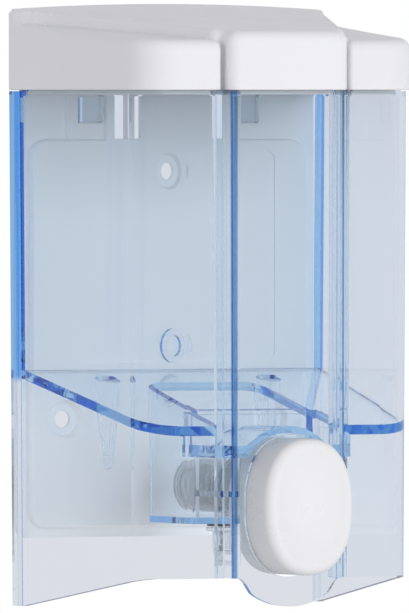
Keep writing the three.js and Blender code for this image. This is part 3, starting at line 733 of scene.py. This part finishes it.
def capped(outline, height, radius, low, rear_keep, spacing=2.4):
    """A closed solid: a height field over an outline, with its top edge rounded, down to a flat base. Edges on the wall side, at rear_keep, stay square."""
    outline = split(outline, 1.2)
    n = len(outline)
    # the rounded edge runs round everything but the wall side
    run = []
    start = max(range(n), key=lambda i: (abs(outline[i][1] - rear_keep) < 1e-6, -outline[i][0]))
    order = [outline[(start + i) % n] for i in range(n)]
    front = [p for p in order if p[1] > rear_keep + 1e-6]
    right_rear = max((p for p in outline if abs(p[1] - rear_keep) < 1e-6), key=lambda p: p[0])
    left_rear = min((p for p in outline if abs(p[1] - rear_keep) < 1e-6), key=lambda p: p[0])
    if front[0][0] > 0:
        run = [right_rear] + front + [left_rear]
    else:
        run = [left_rear] + front + [right_rear]
    # lengthen the ends past the wall side so that the edge runs straight out
    def past(a, b):
        return (a[0] + (a[0] - b[0]) * 3, a[1] + (a[1] - b[1]) * 3)

    edge = [past(run[0], run[1])] + run + [past(run[-1], run[-2])]
    pts = [outline]
    extra = []
    # rings that follow the rounded edge
    if radius > 0:
        for phi in (10, 18, 26, 36, 46, 57, 68, 79, 90):
            inset = radius * (1 - math.cos(math.radians(phi)))
            for i in range(n):
                p, q, w = outline[i - 1], outline[i], outline[(i + 1) % n]
                tx, ty = w[0] - p[0], w[1] - p[1]
                l = math.hypot(tx, ty)
                nx, ny = -ty / l, tx / l
                c = (q[0] + nx * inset, q[1] + ny * inset)
                extra.append((c[0], c[1], inset))
    ex = np.array(extra) if extra else np.zeros((0, 3))
    if len(ex):
        ok = inside(outline, ex[:, 0], ex[:, 1])
        away = near_line(edge, ex[:, 0], ex[:, 1])
        ok &= away > ex[:, 2] - 0.02
        # on the wall side the rings are left out
        ok &= ex[:, 1] > rear_keep + 0.25
        ex = ex[ok]
    # lines along the side of the wedge
    lines = []
    k = math.hypot(1, 0.4095)
    for s in np.linspace(-1.5, 2.1, 11):
        for d in np.arange(rear_keep + 0.6, 75, 1.3):
            x = 47.8 - 0.4095 * d - s * k
            lines += [(x, d), (-x, d)]
    gx, gd = np.meshgrid(np.arange(-49, 49.01, spacing), np.arange(rear_keep + spacing / 2, 76, spacing))
    grid = np.stack([gx.ravel(), gd.ravel()], 1)
    gl = np.array(lines)
    side = ((47.8 - 0.4095 * grid[:, 1]) - np.abs(grid[:, 0])) / k
    grid = grid[(side < -2.4) | (side > 3.0)]
    rest = np.concatenate([gl, grid])
    ok = inside(outline, rest[:, 0], rest[:, 1])
    ok &= near_line(edge, rest[:, 0], rest[:, 1]) > radius + 0.35
    ok &= rest[:, 1] > rear_keep + 0.5
    rest = rest[ok]
    allp = np.concatenate([np.array(outline), ex[:, :2], rest])
    # thin out points that nearly coincide
    seen, keep = {}, []
    for i, (x, d) in enumerate(allp):
        key = (round(x / 0.12), round(d / 0.12))
        if i < n or key not in seen:
            seen[key] = i
            keep.append(i)
    allp = allp[keep]
    verts, _, tris, origin, _, _ = delaunay_2d_cdt([Vector((float(x), float(d))) for x, d in allp], [(i, (i + 1) % n) for i in range(n)], [], 1, 1e-7)
    xy = np.array([v[:] for v in verts])
    index = {}
    for i, ids in enumerate(origin):
        for j in ids:
            index[j] = i
    away = near_line(edge, xy[:, 0], xy[:, 1])
    drop = np.zeros(len(xy))
    if radius > 0:
        # the edge is tighter towards the wall
        share = np.clip((xy[:, 1] - 2) / 40, 0, 1)
        r = radius * (0.42 + 0.58 * share * share * (3 - 2 * share))
        a = np.clip(away, 0, r)
        drop = r - np.sqrt(np.maximum(r**2 - (r - a) ** 2, 0))
    z = np.array([height(x, d) for x, d in xy]) - drop
    out = [at(x, d, h) for (x, d), h in zip(xy, z)]
    count = len(xy)
    faces = [tuple(t) for t in tris]
    loop = [index[i] for i in range(n)]
    rows = [loop]
    base_inset = 0.35
    for h, inset in ((low + base_inset, 0.0), (low + 0.1, 0.1), (low, base_inset)):
        row = []
        for i in range(n):
            p, q, w = outline[i - 1], outline[i], outline[(i + 1) % n]
            tx, ty = w[0] - p[0], w[1] - p[1]
            l = math.hypot(tx, ty)
            out.append(at(q[0] - ty / l * inset, q[1] + tx / l * inset, h))
            row.append(len(out) - 1)
        rows.append(row)
    for a, b in zip(rows, rows[1:]):
        for i in range(n):
            j = (i + 1) % n
            faces.append((a[j], a[i], b[i], b[j]))
    faces.append(tuple(rows[-1]))
    return new_object("capped", mesh_of(out, faces))


def lid():
    outline = plan(LID, 0.0, 0.6, (16.5, 3.0, 0.6, 0.6, 3.1), step=0.5)
    outer = capped(outline, lid_height, 2.8, 0.0, 0.6)
    hollow = plan(LID, 1.8, 2.4, (14.7, 1.2, 1.6, 1.6, 1.4), step=0.8)
    inner = capped(hollow, lambda x, d: lid_height(x, d) - 1.8, 0.8, -4.0, 2.4, spacing=5.0)
    outer = cut(outer, inner)
    k = 48.0 - 1.9
    rear = upright([(k - SLOPE * -2, -2), (k - SLOPE * 3.6, 3.6), (-k + SLOPE * 3.6, 3.6), (-k - SLOPE * 2, -2)], -3, 12.8)
    outer = cut(outer, rear)
    a = upright(plan(TANK, 2.9, 6.4, (11.1, 0.8, 0.8, 0.8, 0.8)), -1.2, 17)
    b = upright(plan(TANK, 4.2, 7.7, (9.8, 0.8, 0.8, 0.8, 0.8)), -5.0, 20)
    ring = cut(a, b)
    ring = common(ring, across([(-2, -5), (90, -5), (90, wing_top(90) - 0.9), (-2, wing_top(-2) - 0.9)], -60, 60))
    outer = add(outer, ring)
    return clean(outer, 0.003)


cover = lid()
finish_piece(cover, "lid_cover", "lid_unit", WHITE, ("lid",), angle=38)

# ------------------------------------------------------------------ button
BZ = -111.9


def loft(rings, close_first=True, close_last=True, power=2.3, n=96):
    """A closed body through ovals: each ring is (inset, depth)."""
    verts, faces, rows = [], [], []
    for inset, d in rings:
        if inset >= 13.19:
            verts.append(at(0, d, BZ))
            rows.append([len(verts) - 1] * n)
            continue
        # inner ovals grow rounder as they shrink, so that they stay evenly spaced
        f = min(1.0, (13.2 - inset) / 10.6)
        w, h = (13.2 - inset, 18.4 - inset) if inset <= 2.6 else (10.6 * f, 15.8 * f)
        row = []
        for x, z in oval(w, h, BZ, n, power):
            verts.append(at(x, d, z))
            row.append(len(verts) - 1)
        rows.append(row)
    for a, b in zip(rows, rows[1:]):
        for i in range(n):
            j = (i + 1) % n
            f = [a[i], a[j], b[j], b[i]]
            f = [v for k, v in enumerate(f) if v not in f[:k]]
            if len(f) > 2:
                faces.append(f)
    if close_first:
        faces.append(tuple(reversed(rows[0])))
    if close_last:
        faces.append(tuple(rows[-1]))
    return new_object("loft", mesh_of(verts, faces))


def button():
    rings = [(0.5, 64.0), (0.15, 64.15), (0.0, 64.5)]
    for d in (68, 72, 76, 79, 81.5, 83.0):
        rings.append((0.0, d))
    # soft crease, rounded edge, then the crown
    edge, r = 85.9, 2.6
    for i in range(1, 10):
        a = math.radians(90 * i / 9)
        rings.append((r * (1 - math.cos(a)), edge - r + r * math.sin(a)))
    for k in range(1, 15):
        t = 0.97 * k / 14
        inset = r + (13.2 - r) * t
        u = 1 - (inset - r) / (13.2 - r)
        rings.append((inset, edge + 2.1 * (1 - u * u)))
    b = loft(rings)
    inner = [(2.0, 62.0)]
    for d in (70, 80, 83.0):
        inner.append((2.0, d))
    inner += [(2.3, 83.6), (3.0, 83.9)]
    b = cut(b, loft(inner))
    b = add(b, turned([(3.3, 70.2), (5.2, 70.2), (5.2, 84.6), (3.3, 84.6), (3.3, 70.2)], n=48))
    for s in (-1, 1):
        b = add(b, block(*sorted((s * 4.9, s * 11.6)), 71.0, 84.6, PUMP_Z - 0.7, PUMP_Z + 0.7))
    b = add(b, block(-0.7, 0.7, 71.0, 84.6, BZ - 16.8, PUMP_Z - 4.9))
    return clean(b, 0.003)


push = button()
finish_piece(push, "oval_button", "button", BUTTON_WHITE, ("push_button",), angle=40, weighted=False)

# ------------------------------------------------------------------ back plate


def back_plate():
    def rounded(half, low, high, r):
        return fillet([(half, high), (-half, high), (-half, low), (half, low)], [r] * 4)

    p = inward(rounded(44.6, -121.5, 12.0, 3.0), 0, 0.9)
    p = add(p, inward(rounded(30.0, -20.0, 12.0, 1.5), 0.3, 2.0))
    p = add(p, ease(inward(rounded(41.4, -119.0, -13.4, 5.0), 0.4, 3.2), 0.85, 4, 40))
    p = add(p, ease(inward(rounded(19.0, -20.0, 11.2, 1.5), 0.3, 3.2), 0.6, 3, 40))
    # shallow frames and lines moulded into the panel
    p = cut(p, inward(rounded(31.5, -74.0, -16.4, 3.0), 2.85, 4.0))
    for s in (-1, 1):
        a, b = sorted((s * 19.6, s * 27.0))
        p = cut(p, block(a, b, 0.42, 5, -9.0, 13))
        p = cut(p, block(a, b, 0.42, 1.85, -13.0, -8.0))
        c, d = sorted((s * 12.2, s * 16.4))
        p = cut(p, block(c, d, -1, 5, -13.2, 13))
    for x, z in ((0, -22.1), (-31, -89.4), (31, -89.4)):
        dish = [(0, -1), (2.3, -1), (2.3, 1.0), (4.2, 1.3), (5.6, 3.8), (0, 3.8)]
        p = cut(p, turned(dish, z=z, x=x, n=48))
    clean(p, 0.003)
    return ease(p, 0.25, 2, 40)


plate = back_plate()
finish_piece(plate, "wall_plate", "wall_unit", PLATE_LIGHTENED, ("back_plate",), angle=30)

# ------------------------------------------------------------------ pump


def eased(profile, r=0.2):
    return rounded_profile(profile, r, closed=True)


cyl = turned(eased([(5.8, 23.4), (7.2, 23.4), (7.2, 53.6), (10.3, 53.6), (10.3, 55.4), (5.8, 55.4), (5.8, 23.4)]))
cyl = cut(cyl, spun([(0, -116.2), (2.3, -116.2), (2.3, -111.2), (0, -111.2)], 0, 33.3, n=32))
finish_piece(cyl, "cylinder", "tank", NATURAL, ("pump_cylinder",))

gasket = turned(eased(box_ring(7.5, 10.3, 52.3, 53.3), 0.3))
finish_piece(gasket, "flange_gasket", "tank", SILICONE, ("pump_gasket",))

hexagon = [(11.4 * math.cos(math.pi * i / 3), PUMP_Z + 11.4 * math.sin(math.pi * i / 3)) for i in range(6)]
nut = inward(fillet(hexagon, [0.8] * 6, step=0.3), 46.8, 49.7)
nut = common(nut, block(-20, 20, 0, 80, -114.95, -87.2))
nut = cut(nut, turned([(0, 44), (7.5, 44), (7.5, 53), (0, 53)], n=64))
clean(nut)
nut = ease(nut, 0.25, 2, 40)
finish_piece(nut, "ring_nut", "tank", NATURAL, ("pump_nut",))

cap = turned(
    eased(
        [
            (1.3, 21.3), (7.2, 21.3), (7.2, 23.1), (5.5, 23.1), (5.5, 23.6), (4.6, 23.6), (4.6, 24.8), (5.5, 24.8), (5.5, 26.0),
            (4.0, 26.0), (4.0, 30.4), (1.2, 30.4), (1.2, 29.6), (2.5, 29.6), (2.5, 24.4), (1.3, 24.4), (1.3, 21.3),
        ],
        0.1,
    )
)
cap = cut(cap, block(-0.8, 0.8, 27.4, 32, PUMP_Z - 6, PUMP_Z + 6))
cap = cut(cap, block(-6, 6, 27.4, 32, PUMP_Z - 0.8, PUMP_Z + 0.8))
clean(cap)
finish_piece(cap, "inlet_cap", "tank", NATURAL, ("inlet_valve_cap",))


def torus_profile(mid, r, a, n=14):
    pts = [(mid + r * math.cos(2 * math.pi * i / n), a + r * math.sin(2 * math.pi * i / n)) for i in range(n)]
    return pts + [pts[0]]


ring = turned(torus_profile(5.25, 0.35, 24.2))
finish_piece(ring, "inlet_ring", "tank", RUBBER, ("inlet_o_ring",), angle=60)

guide = turned(eased([(3.3, 57.0), (8.2, 57.0), (8.2, 55.7), (5.5, 55.7), (5.5, 47.3), (4.9, 47.3), (4.9, 49.2), (3.3, 49.2), (3.3, 57.0)], 0.18))
finish_piece(guide, "rod_bush", "tank", NATURAL, ("rod_guide",))
seal = turned(torus_profile(3.95, 0.6, 48.2))
finish_piece(seal, "rod_ring", "tank", SILICONE, ("rod_seal",), angle=60)

nozzle = spun(
    eased([(0.8, -113.6), (1.95, -113.6), (1.95, -118.4), (4.4, -118.4), (4.4, -119.4), (2.7, -119.4), (2.7, -124.4), (1.75, -124.4), (1.75, -119.6), (0.8, -119.6), (0.8, -113.6)], 0.15),
    0,
    33.3,
)
finish_piece(nozzle, "nozzle_tube", "tank", NATURAL, ("nozzle_body",))
nseal = spun(eased(box_ring(2.5, 4.2, -118.1, -117.3), 0.25), 0, 33.3)
finish_piece(nseal, "nozzle_ring", "tank", RUBBER, ("nozzle_seal",))
tip = spun(
    eased(
        [(0.8, -123.2), (1.45, -123.2), (1.45, -124.7), (2.5, -124.7), (2.5, -125.6), (1.6, -125.9), (1.6, -127.4), (2.1, -127.6), (2.1, -128.8), (0.8, -128.8), (0.8, -123.2)],
        0.12,
    ),
    0,
    33.3,
)
finish_piece(tip, "spout_tip", "tank", SMALL_WHITE, ("nozzle_tip",))


def ball(x, d, z, r, name, body, node):
    prof = [(r * math.sin(math.pi * i / 24) if 0 < i < 24 else 0.0, -r * math.cos(math.pi * i / 24)) for i in range(25)]
    o = revolve(prof, lambda a, b, w: at(x + a, d + b, z + w), 48)
    return finish_piece(o, name, body, BALL, (node,), angle=60)


ball(0, 26.05, PUMP_Z, 2.0, "inlet_check_ball", "inlet_valve", "inlet_ball")
ball(0, 33.3, -120.7, 1.3, "outlet_check_ball", "outlet_valve", "outlet_ball")

plunger = turned(
    rounded_profile(
        [(0, 43.4), (5.45, 43.4), (5.45, 44.2), (3.6, 44.2), (3.6, 45.8), (5.45, 45.8), (5.45, 46.6), (3.0, 46.6), (3.0, 82.6), (2.4, 83.2), (0, 83.2)],
        0.15,
        closed=False,
    )
)
finish_piece(plunger, "piston_rod", "button", NATURAL, ("plunger",))
pseal = turned(eased([(3.9, 44.5), (5.0, 44.5), (5.6, 44.7), (5.6, 45.3), (5.0, 45.5), (3.9, 45.5), (3.9, 44.5)], 0.12))
finish_piece(pseal, "piston_cup", "button", RUBBER, ("piston_seal",))


def spring(radius, wire, start, end, turns, place, per_turn=28, sides=10):
    """A closed round wire wound in a helix, with its end turns laid flat."""
    steps = int(turns * per_turn)
    lead = 0.8 / turns
    verts, faces, rows = [], [], []

    def along(t):
        if t < lead:
            s = t * t / (2 * lead)
        elif t > 1 - lead:
            s = 1 - lead - (1 - t) ** 2 / (2 * lead)
        else:
            s = t - lead / 2
        return start + (end - start) * s / (1 - lead)

    for i in range(steps + 1):
        t = i / steps
        a = 2 * math.pi * turns * t
        c, s = math.cos(a), math.sin(a)
        h = along(t)
        row = []
        for j in range(sides):
            q = 2 * math.pi * j / sides
            rr = radius + wire * math.cos(q)
            verts.append(place(rr * c, rr * s, h + wire * math.sin(q)))
            row.append(len(verts) - 1)
        rows.append(row)
    for a, b in zip(rows, rows[1:]):
        for j in range(sides):
            k = (j + 1) % sides
            faces.append((a[j], a[k], b[k], b[j]))
    faces += [tuple(rows[0]), tuple(reversed(rows[-1]))]
    return new_object("spring", mesh_of(verts, faces))


sp = spring(4.9, 0.38, 26.75, 42.7, 7, lambda a, b, w: at(a, w, PUMP_Z + b))
finish_piece(sp, "pump_spring", "tank", WIRE, ("return_spring",), angle=60, weighted=False)
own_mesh(sp)

osp = spring(0.95, 0.2, -122.85, -122.05, 2, lambda a, b, w: at(a, 33.3 + b, w), per_turn=24, sides=8)
finish_piece(osp, "valve_spring", "tank", WIRE, ("outlet_spring",), angle=60, weighted=False)
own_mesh(osp)

# ------------------------------------------------------------------ stage, light and camera
floor_mesh = bpy.data.meshes.new("floor")
floor_mesh.from_pydata([(-1.6, -1.6, -0.42), (1.6, -1.6, -0.42), (1.6, 1.6, -0.42), (-1.6, 1.6, -0.42)], [], [(0, 1, 2, 3)])
floor = new_object("floor", floor_mesh)
fm, ft, fo = nodes_of("pale_floor")
fp = ft.nodes.new("ShaderNodeBsdfPrincipled")
ftc = ft.nodes.new("ShaderNodeTexCoord")
fnoise = noise(ft, 3.0, 3.0, 0.5, ftc.outputs["Object"])
link(ft, ramp(ft, fnoise.outputs["Fac"], [(0.3, (0.86, 0.86, 0.86)), (0.7, (0.9, 0.9, 0.9))]).outputs["Color"], fp.inputs["Base Color"])
fp.inputs["Roughness"].default_value = 0.8
link(ft, fp.outputs["BSDF"], fo.inputs["Surface"])
floor_mesh.materials.append(fm)

world = bpy.data.worlds.new("studio")
bpy.context.scene.world = world
world.use_nodes = True
wt = world.node_tree
wt.nodes.clear()
wo = wt.nodes.new("ShaderNodeOutputWorld")
seen = wt.nodes.new("ShaderNodeBackground")
seen.inputs["Color"].default_value = (1, 1, 1, 1)
seen.inputs["Strength"].default_value = 1.0
lit = wt.nodes.new("ShaderNodeBackground")
wtc = wt.nodes.new("ShaderNodeTexCoord")
sep = wt.nodes.new("ShaderNodeSeparateXYZ")
wt.links.new(wtc.outputs["Generated"], sep.inputs["Vector"])
wr = wt.nodes.new("ShaderNodeValToRGB")
wr.color_ramp.elements[0].position = 0.25
wr.color_ramp.elements[0].color = (0.86, 0.86, 0.905, 1)
wr.color_ramp.elements[1].position = 0.75
wr.color_ramp.elements[1].color = (0.94, 0.94, 0.98, 1)
half = wt.nodes.new("ShaderNodeMath")
half.operation = "MULTIPLY_ADD"
half.inputs[1].default_value = 0.5
half.inputs[2].default_value = 0.5
wt.links.new(sep.outputs["Z"], half.inputs[0])
wt.links.new(half.outputs[0], wr.inputs["Fac"])
wt.links.new(wr.outputs["Color"], lit.inputs["Color"])
lit.inputs["Strength"].default_value = 0.84
soft = wt.nodes.new("ShaderNodeBackground")
soft.inputs["Strength"].default_value = 0.5
wt.links.new(wr.outputs["Color"], soft.inputs["Color"])
lp = wt.nodes.new("ShaderNodeLightPath")
wmix = wt.nodes.new("ShaderNodeMixShader")
wt.links.new(lp.outputs["Is Camera Ray"], wmix.inputs["Fac"])
part = wt.nodes.new("ShaderNodeMixShader")
wt.links.new(lp.outputs["Is Diffuse Ray"], part.inputs["Fac"])
wt.links.new(lit.outputs["Background"], part.inputs[1])
wt.links.new(soft.outputs["Background"], part.inputs[2])
wt.links.new(part.outputs["Shader"], wmix.inputs[1])
wt.links.new(seen.outputs["Background"], wmix.inputs[2])
wt.links.new(wmix.outputs["Shader"], wo.inputs["Surface"])


def softbox(name, at_m, aim, size, watts, colour=(1, 1, 1)):
    d = bpy.data.lights.new(name, "AREA")
    d.shape = "RECTANGLE"
    d.size, d.size_y = size
    d.energy = watts
    d.color = colour
    o = bpy.data.objects.new(name, d)
    o.location = at_m
    o.rotation_euler = (Vector(aim) - Vector(at_m)).to_track_quat("-Z", "Y").to_euler()
    o.visible_camera = False
    o.visible_glossy = False
    o.visible_transmission = False
    bpy.context.scene.collection.objects.link(o)
    return o


softbox("key", (0.75, -2.4, 0.35), (0, -0.04, 0), (2.0, 1.8), 40)
softbox("side", (-2.4, -0.5, 0.35), (0, -0.04, 0), (1.2, 1.6), 14)

# the camera looks from the left front, level with the seam, aimed a little down and to the right
A = math.radians(27.5)
DIST = 4.8
FOCAL = 3.704 * DIST * 1000
ref = Vector((0.0096, -0.0050, SEAM * MM))
cam_at = ref + (DIST + 0.045) * Vector((-math.sin(A), -math.cos(A), 0))
pitch = math.atan((306.5 - 90.0) / FOCAL)
cd = bpy.data.cameras.new("camera")
cd.sensor_fit = "AUTO"
cd.sensor_width = 36.0
cd.lens = FOCAL / 613.0 * 36.0
cd.clip_end = 50
cam = bpy.data.objects.new("camera", cd)
look = Vector((math.sin(A) * math.cos(pitch), math.cos(A) * math.cos(pitch), -math.sin(pitch)))
cam.location = cam_at
cam.rotation_euler = look.to_track_quat("-Z", "Y").to_euler()
bpy.context.scene.collection.objects.link(cam)
bpy.context.scene.camera = cam

sc = bpy.context.scene
sc.view_settings.view_transform = "Standard"
sc.view_settings.look = "None"
sc.cycles.max_bounces = 160
sc.cycles.transmission_bounces = 128
sc.cycles.transparent_max_bounces = 24
sc.cycles.diffuse_bounces = 5
sc.cycles.glossy_bounces = 128
sc.cycles.caustics_reflective = False
sc.cycles.caustics_refractive = True
